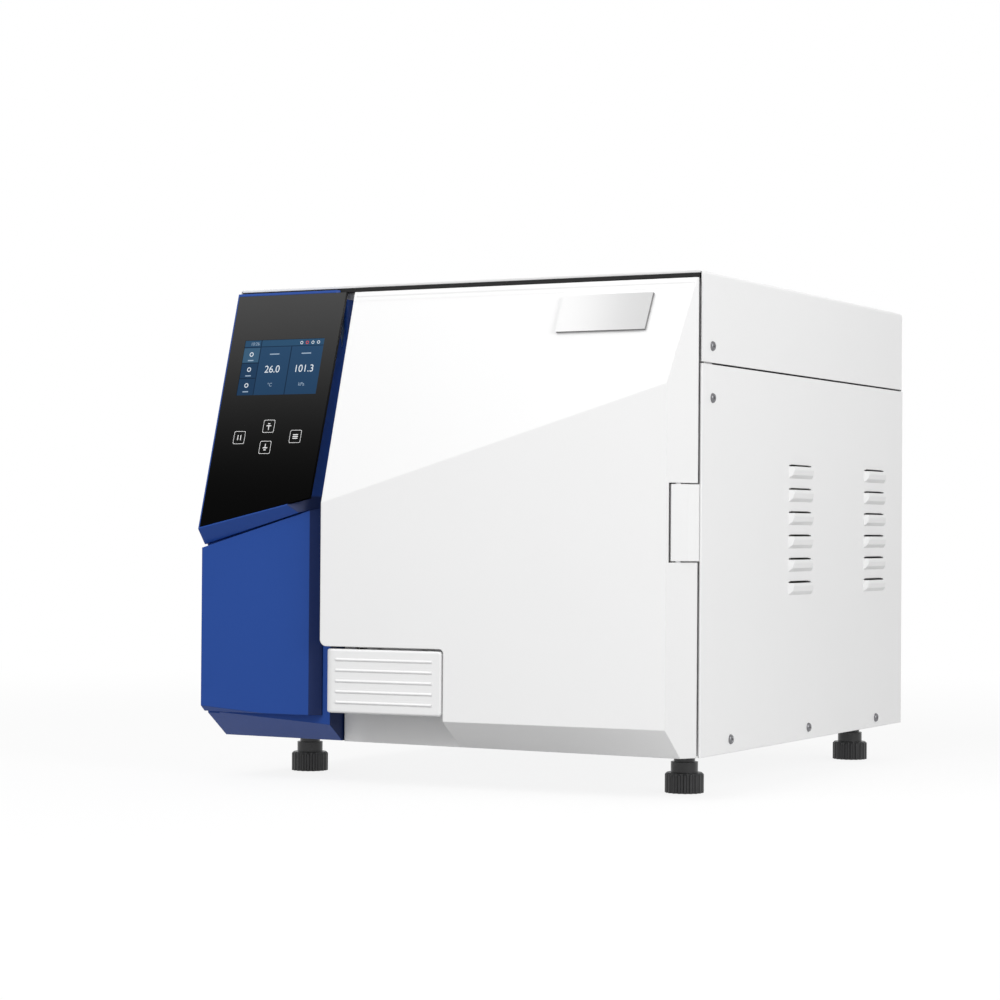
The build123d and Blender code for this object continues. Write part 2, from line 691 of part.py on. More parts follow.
def make_rear_panel():
    """The rear sheet, with the fan grille and the cut-outs of the mains fittings."""
    panel = block(-side_in + 0.1, side_in - 0.1, rear_y - sheet, rear_y, base_z + 1, top_z - 15.2)
    ring_gap = 12.0
    for k in range(4):
        r = 14 + k * ring_gap
        slot = Circle(r + 3) - Circle(r - 3)
        slot -= Rectangle(2 * fan_r, 8) + Rectangle(8, 2 * fan_r)
        panel -= Pos(fan_x, rear_y + 5, fan_z) * extrude(Plane.XZ * slot, amount=15)
        panel -= Pos(fan_x, rear_y - 5, fan_z) * extrude(Plane.XZ * slot, amount=-15)
    panel -= block(inlet_x - 24, inlet_x + 24, rear_y - 9, rear_y + 9, inlet_z - 12, inlet_z + 12)
    panel -= block(switch_x - 11, switch_x + 11, rear_y - 9, rear_y + 9, inlet_z - 15, inlet_z + 15)
    for x in fuse_x:
        panel -= rod_y(x, inlet_z, 6.2, rear_y - 9, rear_y + 9)
    for x in barb_x:
        panel -= rod_y(x, inlet_z, 7.2, rear_y - 9, rear_y + 9)
    return panel


inlet_x = 130.0
inlet_z = base_z + 60.0
switch_x = 185.0
fuse_x = (70.0, 90.0)
barb_x = (-60.0, -30.0)


def make_mains_inlet():
    """A socket of the usual three-pin kind, with a flange outside the rear panel."""
    body = block(inlet_x - 14, inlet_x + 14, rear_y - 22, rear_y + 4, inlet_z - 11.5, inlet_z + 11.5)
    flange = block(inlet_x - 25, inlet_x + 25, rear_y, rear_y + 4, inlet_z - 14, inlet_z + 14)
    hole = block(inlet_x - 11.5, inlet_x + 11.5, rear_y - 14, rear_y + 9, inlet_z - 8.5, inlet_z + 8.5)
    socket = body + flange - hole
    for x in (-7, 0, 7):
        socket += block(inlet_x + x - 1, inlet_x + x + 1, rear_y - 15, rear_y - 1, inlet_z - 2.5, inlet_z + 2.5)
    return socket


def make_switch_frame():
    """The bezel that the mains rocker turns in."""
    body = block(switch_x - 13, switch_x + 13, rear_y, rear_y + 2.5, inlet_z - 17, inlet_z + 17)
    body += block(switch_x - 10.8, switch_x + 10.8, rear_y - 18, rear_y + 1, inlet_z - 14.8, inlet_z + 14.8)
    body -= block(switch_x - 8.5, switch_x + 8.5, rear_y - 16, rear_y + 9, inlet_z - 12.6, inlet_z + 12.6)
    return body - rod_x(rocker_y, inlet_z, rocker_pin_r + running, switch_x - 10.0, switch_x + 10.0)


rocker_y = rear_y - 4.0
rocker_pin_r = 1.5


def make_rocker():
    """The mains rocker, resting with its lower half pressed in."""
    profile = [(-9, -9), (3, -11.6), (7.5, -10.6), (4.2, 0), (4.6, 10.6), (-1, 11.6), (-9, 7)]
    body = Pos(0, rocker_y, inlet_z) * side_prism(profile, switch_x - 8.0, switch_x + 8.0)
    return body + rod_x(rocker_y, inlet_z, rocker_pin_r, switch_x - 9.7, switch_x + 9.7)


def make_fuse_holders():
    """Two screw-cap fuse holders."""
    return [rod_y(x, inlet_z, 6, rear_y - 24, rear_y + 1) + rod_y(x, inlet_z, 8, rear_y, rear_y + 9) for x in fuse_x]


def make_hose_barbs():
    """The two drain spigots at the rear."""
    group = []
    for x in barb_x:
        barb = rod_y(x, inlet_z, 7, rear_y - 10, rear_y + 1) + rod_y(x, inlet_z, 9, rear_y, rear_y + 3)
        barb += rod_y(x, inlet_z, 4, rear_y + 2, rear_y + rear_reach)
        group.append(barb - rod_y(x, inlet_z, 2.5, rear_y - 5, rear_y + 20))
    return group


# Chamber and what hangs on it

def domed(r, y0, y1, rise):
    """A round bar from front to rear whose rear end is a shallow dome."""
    sphere_r = (r * r + rise * rise) / (2 * rise)
    dome = Pos(0, y1 + rise - sphere_r, 0) * Sphere(sphere_r) & block(-r, r, y1 - 1, y1 + rise + 1, -r, r)
    return rod_y(0, 0, r, y0, y1) + (dome & rod_y(0, 0, r, y1 - 1, y1 + rise + 1))


def make_chamber():
    """The drawn pressure vessel: a round wall and a dished rear end, open at the front."""
    y0 = flange_front + flange_thick
    y1 = y0 + chamber_long
    vessel = domed(chamber_r + chamber_wall, y0, y1, dish_deep)
    vessel -= domed(chamber_r, y0 - 5, y1, dish_deep - chamber_wall)
    return Pos(chamber_x, 0, axis_z) * vessel


def make_flange():
    """The machined ring at the chamber's mouth."""
    ring = Circle(flange_r) - Circle(chamber_r)
    solid = extrude(Plane.XZ * ring, amount=-flange_thick)
    return Pos(chamber_x, flange_front, axis_z) * solid


def make_insulation():
    """The felt jacket round the chamber and its band."""
    inner = chamber_r + chamber_wall
    ring = Circle(inner + 17) - Circle(inner)
    return Pos(chamber_x, 60, axis_z) * extrude(Plane.XZ * ring, amount=-270)


def make_cradle():
    """Two saddles between the chamber's jacket and the base pan."""
    r = chamber_r + chamber_wall
    group = []
    for y in (28.0, 338.0):
        saddle = block(chamber_x - 90, chamber_x + 90, y, y + 14, base_z + 2, axis_z - 60)
        group.append(saddle - rod_y(chamber_x, axis_z, r, 0, 500))
    return group


tray_y0 = 30.0
tray_y1 = 330.0
tray_levels = (-55.0, 5.0, 60.0)


def tray_half(z):
    """Half the width that a tray can have at a level of the round chamber."""
    return (chamber_r ** 2 - (abs(z) + 14) ** 2) ** 0.5 - 10


def make_rack():
    """The sheet rack: two uprights with a ledge for each tray, tied by cross bars."""
    half = 84.0
    low = 0.02 - (chamber_r ** 2 - (half + 1.5) ** 2) ** 0.5
    rack = None
    for s in (-1, 1):
        lo, hi = sorted((s * half, s * (half + 1.5)))
        wall = block(lo, hi, tray_y0, tray_y1, low, 74)
        for y in (70.0, 150.0, 230.0):
            wall -= block(s * half - 3, s * half + 3, y, y + 50, -40, -6)
            wall -= block(s * half - 3, s * half + 3, y, y + 50, 20, 50)
        for z in tray_levels:
            lo, hi = sorted((s * (half - 7), s * half))
            wall += block(lo, hi, tray_y0, tray_y1, z - 1.5, z)
        rack = wall if rack is None else rack + wall
    for y in (tray_y0 + 6, tray_y1 - 12):
        rack += block(-half, half, y, y + 8, -80, -78.5)
    return Pos(chamber_x, 0, axis_z) * rack


def make_tray(z):
    """A shallow perforated tray with a turned-up edge."""
    half = 83.4
    y0, y1 = tray_y0 + 2, tray_y1 - 2
    tray = block(-half, half, y0, y1, z, z + 12)
    tray -= block(-half + 1, half - 1, y0 + 1, y1 - 1, z + 1, z + 13)
    slots = GridLocations(26, 56, 5, 4)
    for at in slots:
        tray -= Pos(at.position.X, (y0 + y1) / 2 + at.position.Y, z) * Box(8, 36, 6)
    return Pos(chamber_x, 0, axis_z) * tray


def make_steam_generator():
    """The upright steam generator behind the service bay."""
    x, y = -150.0, 350.0
    body = rod_z(x, y, 34, base_z + 2, base_z + 100) + rod_z(x, y, 42, base_z + 100, base_z + 108)
    return body + rod_z(x, y, 6, base_z + 108, base_z + 124)


def make_vacuum_pump():
    """The diaphragm vacuum pump: a round motor between two square heads."""
    z = base_z + 40
    motor = Pos(-150, 190, z) * Rot(90, 0, 0) * Cylinder(32, 110)
    heads = block(-184, -116, 120, 150, base_z + 2, base_z + 76) + block(-184, -116, 230, 260, base_z + 2, base_z + 76)
    return motor + heads


tank_low = base_z + 300.0


def make_tank(x0, x1):
    """A moulded water tank under the top cover."""
    tank = block(x0, x1, 40, 400, tank_low, top_z - 30)
    tank = fillet(tank.edges().filter_by(Axis.Z), 8)
    hollow = block(x0 + 3, x1 - 3, 43, 397, tank_low + 3, top_z - 33)
    return tank - hollow


def make_tank_shelf():
    """The shelf that carries the tanks from the front frame to the rear panel."""
    y0, y1 = frame_front + frame_sheet, rear_y - sheet
    shelf = block(-220, -84, y0, y1, tank_low - 1.5, tank_low)
    return shelf + block(-220, -84, y0, y0 + 1.5, tank_low - 20, tank_low)


def make_filler_frame():
    """The moulded well below the filler lid, with the neck that leads into the water tank."""
    x0, x1 = lid_x - lid_wide / 2 - 1, lid_x + lid_wide / 2 + 1
    y0, y1 = lid_y - 1, lid_y + lid_deep + lid_rear_gap
    well = block(x0 - 6, x1 + 6, y0 - 6, y1 + 6, top_z - sheet - 2, top_z - sheet)
    well += block(x0 - 3, x1 + 3, y0 - 3, y1 + 3, top_z - 22, top_z - sheet - 1)
    well -= block(x0, x1, y0, y1, top_z - 19, top_z + 5)
    neck_y = lid_y + 38
    well += rod_z(lid_x + 20, neck_y, 24, top_z - 30, top_z - 20)
    well -= rod_z(lid_x + 20, neck_y, 20, top_z - 50, top_z)
    for s in (-1, 1):
        hole_x = lid_x + s * (lid_wide / 2 + 1.5)
        well -= rod_x(lid_axis_y, lid_axis_z, 1.5 + running, hole_x - 2.2, hole_x + 2.2)
    return well


lid_axis_y = lid_y + lid_deep - 2.6
lid_axis_z = top_z - sheet - 1.8


def make_filler_lid():
    """The flush lid over the filler well, with a pivot stub at each rear corner."""
    lid = block(lid_x - lid_wide / 2, lid_x + lid_wide / 2, lid_y, lid_y + lid_deep, top_z - lid_thick, top_z)
    lid -= Pos(lid_x, lid_y, top_z) * Cylinder(11, 20)
    lid = fillet(lid.edges().filter_by(Axis.X).group_by(Axis.Y)[-1], 1.3)
    for s in (-1, 1):
        x0, x1 = sorted((lid_x + s * (lid_wide / 2 - 6), lid_x + s * lid_wide / 2))
        lid += block(x0, x1, lid_axis_y - 3, lid_axis_y, lid_axis_z - 1.5, top_z - lid_thick + 0.5)
        lid += rod_x(lid_axis_y, lid_axis_z, 1.5, *sorted((x0 if s > 0 else x1, lid_x + s * (lid_wide / 2 + 3))))
    return lid


def make_fan_frame():
    """The square frame of the cooling fan on the rear panel, with the motor on its spokes."""
    y0, y1 = rear_y - 52, rear_y - sheet
    frame = block(fan_x - 60, fan_x + 60, y0, y1, fan_z - 60, fan_z + 60)
    frame -= rod_y(fan_x, fan_z, fan_r, y0 - 1, y1 + 1)
    spokes = block(fan_x - 59, fan_x + 59, y0, y0 + 4, fan_z - 3, fan_z + 3)
    spokes += block(fan_x - 3, fan_x + 3, y0, y0 + 4, fan_z - 59, fan_z + 59)
    hub = rod_y(fan_x, fan_z, 18, y0, y0 + 10) + rod_y(fan_x, fan_z, 3, y0, y1 - 6)
    return frame + spokes + hub


def make_fan_rotor():
    """The fan's rotor: a hub with leaning blades."""
    y0, y1 = rear_y - 41, rear_y - 10
    hub = rod_y(fan_x, fan_z, 20, y0, y1) - rod_y(fan_x, fan_z, 3 + running, y0 - 1, y1 + 1)
    for k in range(blade_count):
        blade = Pos(36, 0, 0) * Rot(52, 0, 0) * Box(36, 2.0, 28)
        hub += Pos(fan_x, (y0 + y1) / 2, fan_z) * Rot(0, 360 / blade_count * k, 0) * blade
    return hub


def make_control_board():
    """The control board on stand-offs behind the display."""
    board = block(-215, -115, 70, 71.6, base_z + 180, base_z + 290)
    for x in (-210, -120):
        board += block(x - 3, x + 3, frame_front + frame_sheet, 70, base_z + 270, base_z + 276)
    return board + block(-190, -150, 71.6, 84, base_z + 210, base_z + 250)


def make_power_supply():
    """The power supply box on the base pan."""
    box = block(-60, 20, 400, 450, base_z + 2, base_z + 60)
    return box + block(-50, 10, 396, 400, base_z + 12, base_z + 50)


def make_air_filter():
    """The round air filter in the service bay."""
    x, z = -165.0, base_z + 122.0
    disc = rod_y(x, z, 24, -28, -12) + rod_y(x, z, 18, -32, -28)
    return disc + rod_y(x, z, 6, -12, frame_front)


def make_drain_coupling(x):
    """A drain coupling in the service bay: a hexagon body and a spigot."""
    z = base_z + 66.0
    body = rod_y(x, z, 6, -30, -8) + rod_y(x, z, 4, -8, frame_front)
    nut = extrude(Plane.XZ.offset(8) * RegularPolygon(11, 6), amount=12)
    return Pos(x, 0, z) * nut + body - rod_y(x, z, 3, -31, -14)


def make_badge():
    """The bare raised plate at the door's top right."""
    def down(z):
        return (z - top_z) / cos(radians(lean))
    z0, z1 = base_z + 351.0, base_z + 381.8
    outline = [(104.8, down(z1)), (188.4, down(z1)), (184.8, down(z0)), (102.0, down(z0))]
    return extrude(front_z * make_face(Polyline(*outline, close=True)), amount=2.6)


save("top_cover", make_top_cover())
save("side_panel_right", make_side_panel(1))
save("side_panel_left", make_side_panel(-1))
save("rear_panel", make_rear_panel())
save("base_pan", make_base_pan())
save("front_frame", make_front_frame())
save("trim_strip", make_trim_strip())
save("chamber", make_chamber())
save("chamber_flange", make_flange())
save("insulation_jacket", make_insulation() - make_cradle()[0] - make_cradle()[1])
save("chamber_cradle", *make_cradle())
save("tray_rack", make_rack())
save("trays", *[make_tray(level) for level in tray_levels])
save("steam_generator", make_steam_generator())
save("vacuum_pump", make_vacuum_pump())
save("water_tank", make_tank(-214, -155))
save("waste_tank", make_tank(-150, -90))
save("tank_shelf", make_tank_shelf())
save("filler_frame", make_filler_frame())
save("filler_lid", make_filler_lid())
save("fan_frame", make_fan_frame())
save("fan_rotor", make_fan_rotor())
save("control_board", make_control_board())
save("power_supply", make_power_supply())
save("mains_inlet", make_mains_inlet())
save("switch_frame", make_switch_frame())
save("mains_rocker", make_rocker())
save("fuse_holders", *make_fuse_holders())
save("hose_barbs", *make_hose_barbs())
save("foot_bushes", *make_foot_bushes())
for name, (x, y) in zip(foot_names, foot_places):
    save(name, make_foot(x, y))
save("control_housing", make_control_housing())
save("control_glass", make_glass())
save("display", make_display())
save("service_flap", make_flap())
save("flap_pins", *make_flap_pins())
save("air_filter", make_air_filter())
save("drain_couplings", make_drain_coupling(-188.0), make_drain_coupling(-142.0))
save("door_shell", make_door_shell())
save("door_liner", make_door_liner())
save("pressure_door", make_press_plate())
save("door_gasket", make_gasket())
save("cross_arm", make_cross_arm())
save("centre_stud", make_centre_stud())
save("hinge_bracket", make_hinge_bracket())
save("hinge_cover", make_hinge_cover())
save("hinge_pin", rod_z(hinge_x, hinge_y, hinge_pin_r, base_z + hinge_low - knuckle_long - 1,
                        base_z + hinge_high + knuckle_long + 1))
save("door_handle", make_handle())
save("handle_bracket", make_handle_bracket())
save("handle_pins", *make_handle_pins())
save("latch_bolt", make_latch_bolt())
save("latch_guide", make_latch_guide())
save("strike_plate", make_strike())
save("lock_pin", make_lock_pin())
save("lock_motor", make_lock_motor())
save("badge_plate", make_badge())
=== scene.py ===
from math import cos, pi, radians, sin

import bpy
import numpy as np
from mathutils import Matrix, Vector


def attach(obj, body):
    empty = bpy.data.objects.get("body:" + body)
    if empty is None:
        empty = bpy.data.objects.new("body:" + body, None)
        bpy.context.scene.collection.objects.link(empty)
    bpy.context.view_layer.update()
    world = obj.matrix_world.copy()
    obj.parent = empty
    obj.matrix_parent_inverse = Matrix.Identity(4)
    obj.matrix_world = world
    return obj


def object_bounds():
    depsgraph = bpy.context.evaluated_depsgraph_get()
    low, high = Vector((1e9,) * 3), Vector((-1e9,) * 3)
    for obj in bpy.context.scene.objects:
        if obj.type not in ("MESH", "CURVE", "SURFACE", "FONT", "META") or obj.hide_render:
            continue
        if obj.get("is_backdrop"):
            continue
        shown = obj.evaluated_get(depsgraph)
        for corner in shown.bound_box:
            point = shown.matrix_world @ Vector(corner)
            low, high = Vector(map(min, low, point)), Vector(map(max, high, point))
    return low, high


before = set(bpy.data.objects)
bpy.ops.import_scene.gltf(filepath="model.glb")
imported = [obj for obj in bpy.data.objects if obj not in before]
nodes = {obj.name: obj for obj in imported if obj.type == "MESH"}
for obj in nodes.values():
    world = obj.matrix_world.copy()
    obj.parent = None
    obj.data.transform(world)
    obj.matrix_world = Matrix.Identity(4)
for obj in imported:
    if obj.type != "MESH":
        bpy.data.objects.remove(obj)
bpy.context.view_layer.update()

# Camera and studio
# The picture is taken from the machine's front right, level with its middle, with a long lens.
# The studio is a pale floor that fades to white with distance, under a white sky and two soft lamps.
view_turn, view_rise, view_roll = 0.502, 0.011, 0.007
view_point = Vector((1.1077, -2.1582, 0.2217))
forward = Vector((-sin(view_turn) * cos(view_rise), cos(view_turn) * cos(view_rise), sin(view_rise)))
level_right = Vector((cos(view_turn), sin(view_turn), 0))
level_up = level_right.cross(forward)
picture_right = cos(view_roll) * level_right + sin(view_roll) * level_up
picture_up = cos(view_roll) * level_up - sin(view_roll) * level_right

camera = bpy.data.objects.new("camera", bpy.data.cameras.new("camera"))
sensor_wide, lens_ratio = 36.0, 2.59806
camera.data.sensor_width = sensor_wide
camera.data.lens = sensor_wide * lens_ratio
camera.data.clip_end = 60.0
turned = Matrix((picture_right, picture_up, -forward)).transposed().to_4x4()
camera.matrix_world = Matrix.Translation(view_point) @ turned
bpy.context.scene.collection.objects.link(camera)
bpy.context.scene.camera = camera
bpy.context.scene.view_settings.view_transform = "Standard"


class Link:
    """One value inside a material. Arithmetic on it adds the Math nodes that work it out."""

    def __init__(self, tree, socket):
        self.tree, self.socket = tree, socket

    def node(self, kind, settings=None, inputs=None, output=0):
        """Adds any node: its type and settings, then the values or links of its sockets."""
        made = self.tree.nodes.new("ShaderNode" + kind)
        for name, value in (settings or {}).items():
            setattr(made, name, value)
        for name, value in (inputs or {}).items():
            if isinstance(value, Link):
                self.tree.links.new(value.socket, made.inputs[name])
            else:
                made.inputs[name].default_value = value
        return Link(self.tree, made.outputs[output])

    def maths(self, operation, *others):
        """The result of one Math node on this value and the others."""
        return self.node("Math", {"operation": operation}, dict(enumerate((self, *others))))

    def __add__(self, other):
        return self.maths("ADD", other)

    __radd__ = __add__

    def __mul__(self, other):
        return self.maths("MULTIPLY", other)

    __rmul__ = __mul__

    def __sub__(self, other):
        return self.maths("SUBTRACT", other)

    def __rsub__(self, other):
        return (self * -1.0).maths("ADD", other)

    def __truediv__(self, other):
        return self.maths("DIVIDE", other)

    def step(self, low, high):
        """0 below low, 1 above high, and a smooth rise between them."""
        return self.node("MapRange", {"interpolation_type": "SMOOTHSTEP"},
                         {"Value": self, "From Min": low, "From Max": high})

    def mix(self, dark, light):
        """The colour between two, which may be links, with this value as the share of the second."""
        colours = [c if isinstance(c, Link) else (*c, 1.0) for c in (dark, light)]
        return self.node("Mix", {"data_type": "RGBA"}, {0: self, 6: colours[0], 7: colours[1]}, 2)


def finish(name, colour, roughness=0.5, metallic=0.0, **sockets):
    """A new material, with its even numbers on the shader's own sockets. Returns it with its Object place."""
    material = bpy.data.materials.new(name)
    material.use_nodes = True
    tree = material.node_tree
    shader = tree.nodes["Principled BSDF"]
    shader.inputs["Base Color"].default_value = (*colour, 1.0)
    shader.inputs["Roughness"].default_value = roughness
    shader.inputs["Metallic"].default_value = metallic
    for socket, value in sockets.items():
        shader.inputs[socket.replace("_", " ")].default_value = value
    place = Link(tree, None).node("TexCoord", output=3)
    return material, place


def give(material, **links):
    """Feeds links to sockets of a material's shader."""
    shader = material.node_tree.nodes["Principled BSDF"]
    for socket, link in links.items():
        material.node_tree.links.new(link.socket, shader.inputs[socket.replace("_", " ")])


def direct_or_mirrored(tree):
    """1 for rays from the camera, also by way of gloss or clear glass, and 0 for the light that bounces."""
    ray = Link(tree, None).node("LightPath")
    rays = ray.socket.node.outputs
    kinds = ray + Link(tree, rays["Is Glossy Ray"]) + Link(tree, rays["Is Transmission Ray"])
    return kinds.maths("MINIMUM", 1.0)


# The floor is seen paler than it bounces, so that the low parts of the machine keep their own tones.
paper_bounce, paper_seen = (0.42, 0.42, 0.42), (0.90, 0.90, 0.90)
shadow_share, fade_from, fade_to = 0.16, 0.6, 1.8
floor_material, floor_place = finish("studio_floor", paper_bounce, 0.9)
floor_tree = floor_material.node_tree
paper = floor_tree.nodes["Principled BSDF"]
seen = direct_or_mirrored(floor_tree)
give(floor_material, Base_Color=seen.mix(paper_bounce, paper_seen))
away = floor_place.node("VectorMath", {"operation": "LENGTH"}, {0: floor_place}, 1).step(fade_from, fade_to)
glow = floor_tree.nodes.new("ShaderNodeEmission")
glow.inputs["Strength"].default_value = 1.0
blend = floor_tree.nodes.new("ShaderNodeMixShader")
floor_tree.links.new((seen * (away * shadow_share + (1.0 - shadow_share))).socket, blend.inputs[0])
floor_tree.links.new(paper.outputs[0], blend.inputs[1])
floor_tree.links.new(glow.outputs[0], blend.inputs[2])
floor_tree.links.new(blend.outputs[0], floor_tree.nodes["Material Output"].inputs["Surface"])


def sheet_mesh(name, x, y, z, closed=False, flip=False):
    """A mesh on a grid: x, y and z are arrays over two parameters. Closed joins the second one's ends."""
    rows, columns = x.shape
    points = np.stack([x, y, z], -1).reshape(-1, 3)
    wrap = columns if closed else columns - 1
    i, j = np.meshgrid(np.arange(rows - 1), np.arange(wrap), indexing="ij")
    corner = np.stack([i * columns + j, (i + 1) * columns + j, (i + 1) * columns + (j + 1) % columns,
                       i * columns + (j + 1) % columns], -1).reshape(-1, 4)
    faces = corner[:, ::-1] if flip else corner
    mesh = bpy.data.meshes.new(name)
    mesh.from_pydata(points.tolist(), [], faces.tolist())
    mesh.validate()
    return mesh


def piece(name, mesh, material, smooth=True):
    """An object at the origin for a mesh, with its material."""
    mesh.materials.clear()
    mesh.materials.append(material)
    if smooth:
        mesh.shade_smooth()
    made = bpy.data.objects.new(name, mesh)
    bpy.context.scene.collection.objects.link(made)
    return made


floor_half, floor_drop = 6.0, 0.0005
steps = np.linspace(-floor_half, floor_half, 13)
across, along = np.meshgrid(steps, steps, indexing="ij")
floor_mesh = sheet_mesh("studio_floor", across, along, across * 0 - floor_drop)
floor = piece("studio_floor", floor_mesh, floor_material)
floor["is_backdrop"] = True

world = bpy.data.worlds.new("studio")
bpy.context.scene.world = world
world.use_nodes = True
sky = world.node_tree.nodes["Background"]
world_level = 0.64
sky_strength = direct_or_mirrored(world.node_tree) * (1.0 - world_level) + world_level
sky.inputs["Color"].default_value = (1, 1, 1, 1)
world.node_tree.links.new(sky_strength.socket, sky.inputs["Strength"])


def lamp(name, place, target, wide, high, watts):
    """A soft box that faces a point of the machine."""
    light = bpy.data.lights.new(name, "AREA")
    light.shape, light.size, light.size_y, light.energy = "RECTANGLE", wide, high, watts
    made = bpy.data.objects.new(name, light)
    made.location = place
    made.rotation_mode = "QUATERNION"
    made.rotation_quaternion = (Vector(target) - Vector(place)).to_track_quat("-Z", "Y")
    bpy.context.scene.collection.objects.link(made)


lamp("lamp_above_front", (-0.5, -2.2, 2.4), (0, 0, 0.2), 2.0, 1.6, 38)
lamp("lamp_right", (2.0, -0.85, 0.95), (0.1, 0, 0.2), 0.9, 0.9, 20)

# Folded cabinet sheets
# Steel sheets with a fine white powder coat, folded, hemmed and screwed on: the top cover, both
# sides with their pressed louvres, the rear and the bulkhead behind the door.
coat, place = finish("powder_coat_white", (0.84, 0.84, 0.84), 0.42, Specular_IOR_Level=0.35)


def noise(place, scale, detail=2.0, stretch=(1, 1, 1)):
    """Noise of so many cells to the metre, stretched along the axes."""
    where = place.node("Mapping", {}, {"Vector": place, "Scale": stretch})
    return where.node("TexNoise", {}, {"Vector": where, "Scale": scale, "Detail": detail}, 0)


def relief(height, depth, edge=0.0):
    """A bump of so many metres, over edges rounded by a radius."""
    inputs = {"Height": height, "Distance": depth, "Strength": 1.0}
    if edge:
        inputs["Normal"] = height.node("Bevel", {"samples": 6}, {"Radius": edge})
    return height.node("Bump", {}, inputs)


grain = noise(place, 900.0, 3.0)
cloud = noise(place, 6.0, 3.0)
give(coat, Base_Color=cloud.mix((0.825, 0.825, 0.825), (0.855, 0.855, 0.855)),
     Roughness=cloud * 0.06 + 0.38, Normal=relief(grain, 0.00003, 0.0008))


def dress(material, *names):
    """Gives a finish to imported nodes."""
    for name in names:
        nodes[name].data.materials.clear()
        nodes[name].data.materials.append(material)


dress(coat, "top_cover", "side_panel_left", "side_panel_right", "rear_panel", "front_frame")

# Base pan, shelf and inner boxes
# Plain zinc-plated sheet, with the faint spangle of the plating and rolled lines along the sheet.
zinc, place = finish("zinc_plate", (0.62, 0.63, 0.64), 0.42, 0.9)
spangle = place.node("TexVoronoi", {}, {"Vector": place, "Scale": 160.0}, 0)
give(zinc, Base_Color=spangle.mix((0.55, 0.56, 0.57), (0.70, 0.71, 0.72)), Roughness=spangle * 0.2 + 0.32,
     Normal=relief(noise(place, 300.0, 2.0, (1, 0.1, 1)), 0.00004, 0.0006))
dress(zinc, "base_pan", "tank_shelf", "power_supply")

# Trim strip
# A dark strip of matt moulded plastic between the cover's front edge and the door.
trim, place = finish("trim_matt_grey", (0.010, 0.010, 0.010), 0.6, Specular_IOR_Level=0.3)
give(trim, Roughness=noise(place, 60.0) * 0.2 + 0.5, Normal=relief(noise(place, 1500.0), 0.00003, 0.0004))
dress(trim, "trim_strip")

# Screws
# Pan-head screws with a cross recess, nickel plated, that hold the cover and the side sheets.
# Each is one round surface: a low dome whose middle is sunk along a cross.
nickel, place = finish("nickel_screw", (0.20, 0.20, 0.21), 0.3, 1.0)
give(nickel, Roughness=noise(place, 700.0) * 0.25 + 0.2, Normal=relief(noise(place, 900.0), 0.00003))
screw_r, screw_high = 0.0041, 0.0021
cross_arm, cross_reach, cross_deep = 0.13, 0.58, 0.75


def screw(name, x, y, z, axis, turn):
    """Height over radius and angle: a quarter-round rim, a flat dome, and a cross sunk into it."""
    r, angle = np.meshgrid(np.linspace(0, 1, 27), np.linspace(0, 2 * pi, 72, endpoint=False), indexing="ij")
    height = screw_high * np.clip(1 - r ** 5, 0, 1) ** 0.5
    u, v = r * np.cos(angle), r * np.sin(angle)
    arm = np.minimum(np.abs(u), np.abs(v))
    reach = np.maximum(np.abs(u), np.abs(v))
    cross = np.clip((cross_arm - arm) / 0.06, 0, 1) * np.clip((cross_reach - reach) / 0.12, 0, 1)
    height = height - cross * screw_high * cross_deep * (1 - reach * 0.6)
    place_u = screw_r * (u * cos(turn) - v * sin(turn))
    place_v = screw_r * (u * sin(turn) + v * cos(turn))
    if axis == "y":
        return sheet_mesh(name, x - place_u, y + height, z + place_v, True)
    side = 1 if axis == "x" else -1
    return sheet_mesh(name, x + side * height, y + side * place_u, z + place_v, True)


def drive(name, x, y, z, axis, turn):
    """One screw, fixed to the cabinet."""
    head = piece(name, screw(name, x, y, z, axis, turn), nickel)
    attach(head, "cabinet")


half_wide, front_face, cabinet_deep = 0.2285, -0.2135, 0.476
side_screws = [(0.0202, 0.3737), (0.0209, 0.3308), (0.0618, 0.0463), (0.2351, 0.0454), (0.4053, 0.0439)]
for number, (back, up) in enumerate(side_screws, 1):
    drive(f"screw_right_{number}", half_wide, back + front_face, up, "x", 0.4 * number)
    drive(f"screw_left_{number}", -half_wide, back + front_face, up, "-x", 0.4 * number)
rear_screws = [(-0.215, 0.045), (0.215, 0.045), (-0.215, 0.41), (0.215, 0.41), (0.0, 0.41), (0.0, 0.045),
               (-0.205, 0.285), (-0.095, 0.285), (-0.205, 0.175), (-0.095, 0.175)]
for number, (x, up) in enumerate(rear_screws, 1):
    drive(f"screw_rear_{number}", x, cabinet_deep + front_face, up, "y", 0.5 * number)

# Levelling feet
# Black moulded grips on a steel stud: a fluted ring, a round body and a plain neck.
foot, place = finish("foot_black", (0.012, 0.012, 0.013), 0.3)
give(foot, Base_Color=noise(place, 90.0, 3.0).mix((0.010, 0.010, 0.011), (0.022, 0.022, 0.023)),
     Roughness=noise(place, 120.0, 3.0) * 0.2 + 0.22,
     Normal=relief(noise(place, 800.0, 3.0), 0.00006, 0.0006))
dress(foot, "foot_front_left", "foot_front_right", "foot_rear_left", "foot_rear_right")

# Chamber, flange and pressure door
# Stainless steel, turned and drawn round one axis, with fine rings left by the turning tool.
chamber_x, chamber_z, rings_per_metre = 0.058, 0.236, 9000.0


def axes(vector):
    """The x, y and z of a vector, each as a link."""
    split = vector.node("SeparateXYZ", {}, {0: vector})
    return [Link(vector.tree, socket) for socket in split.socket.node.outputs]


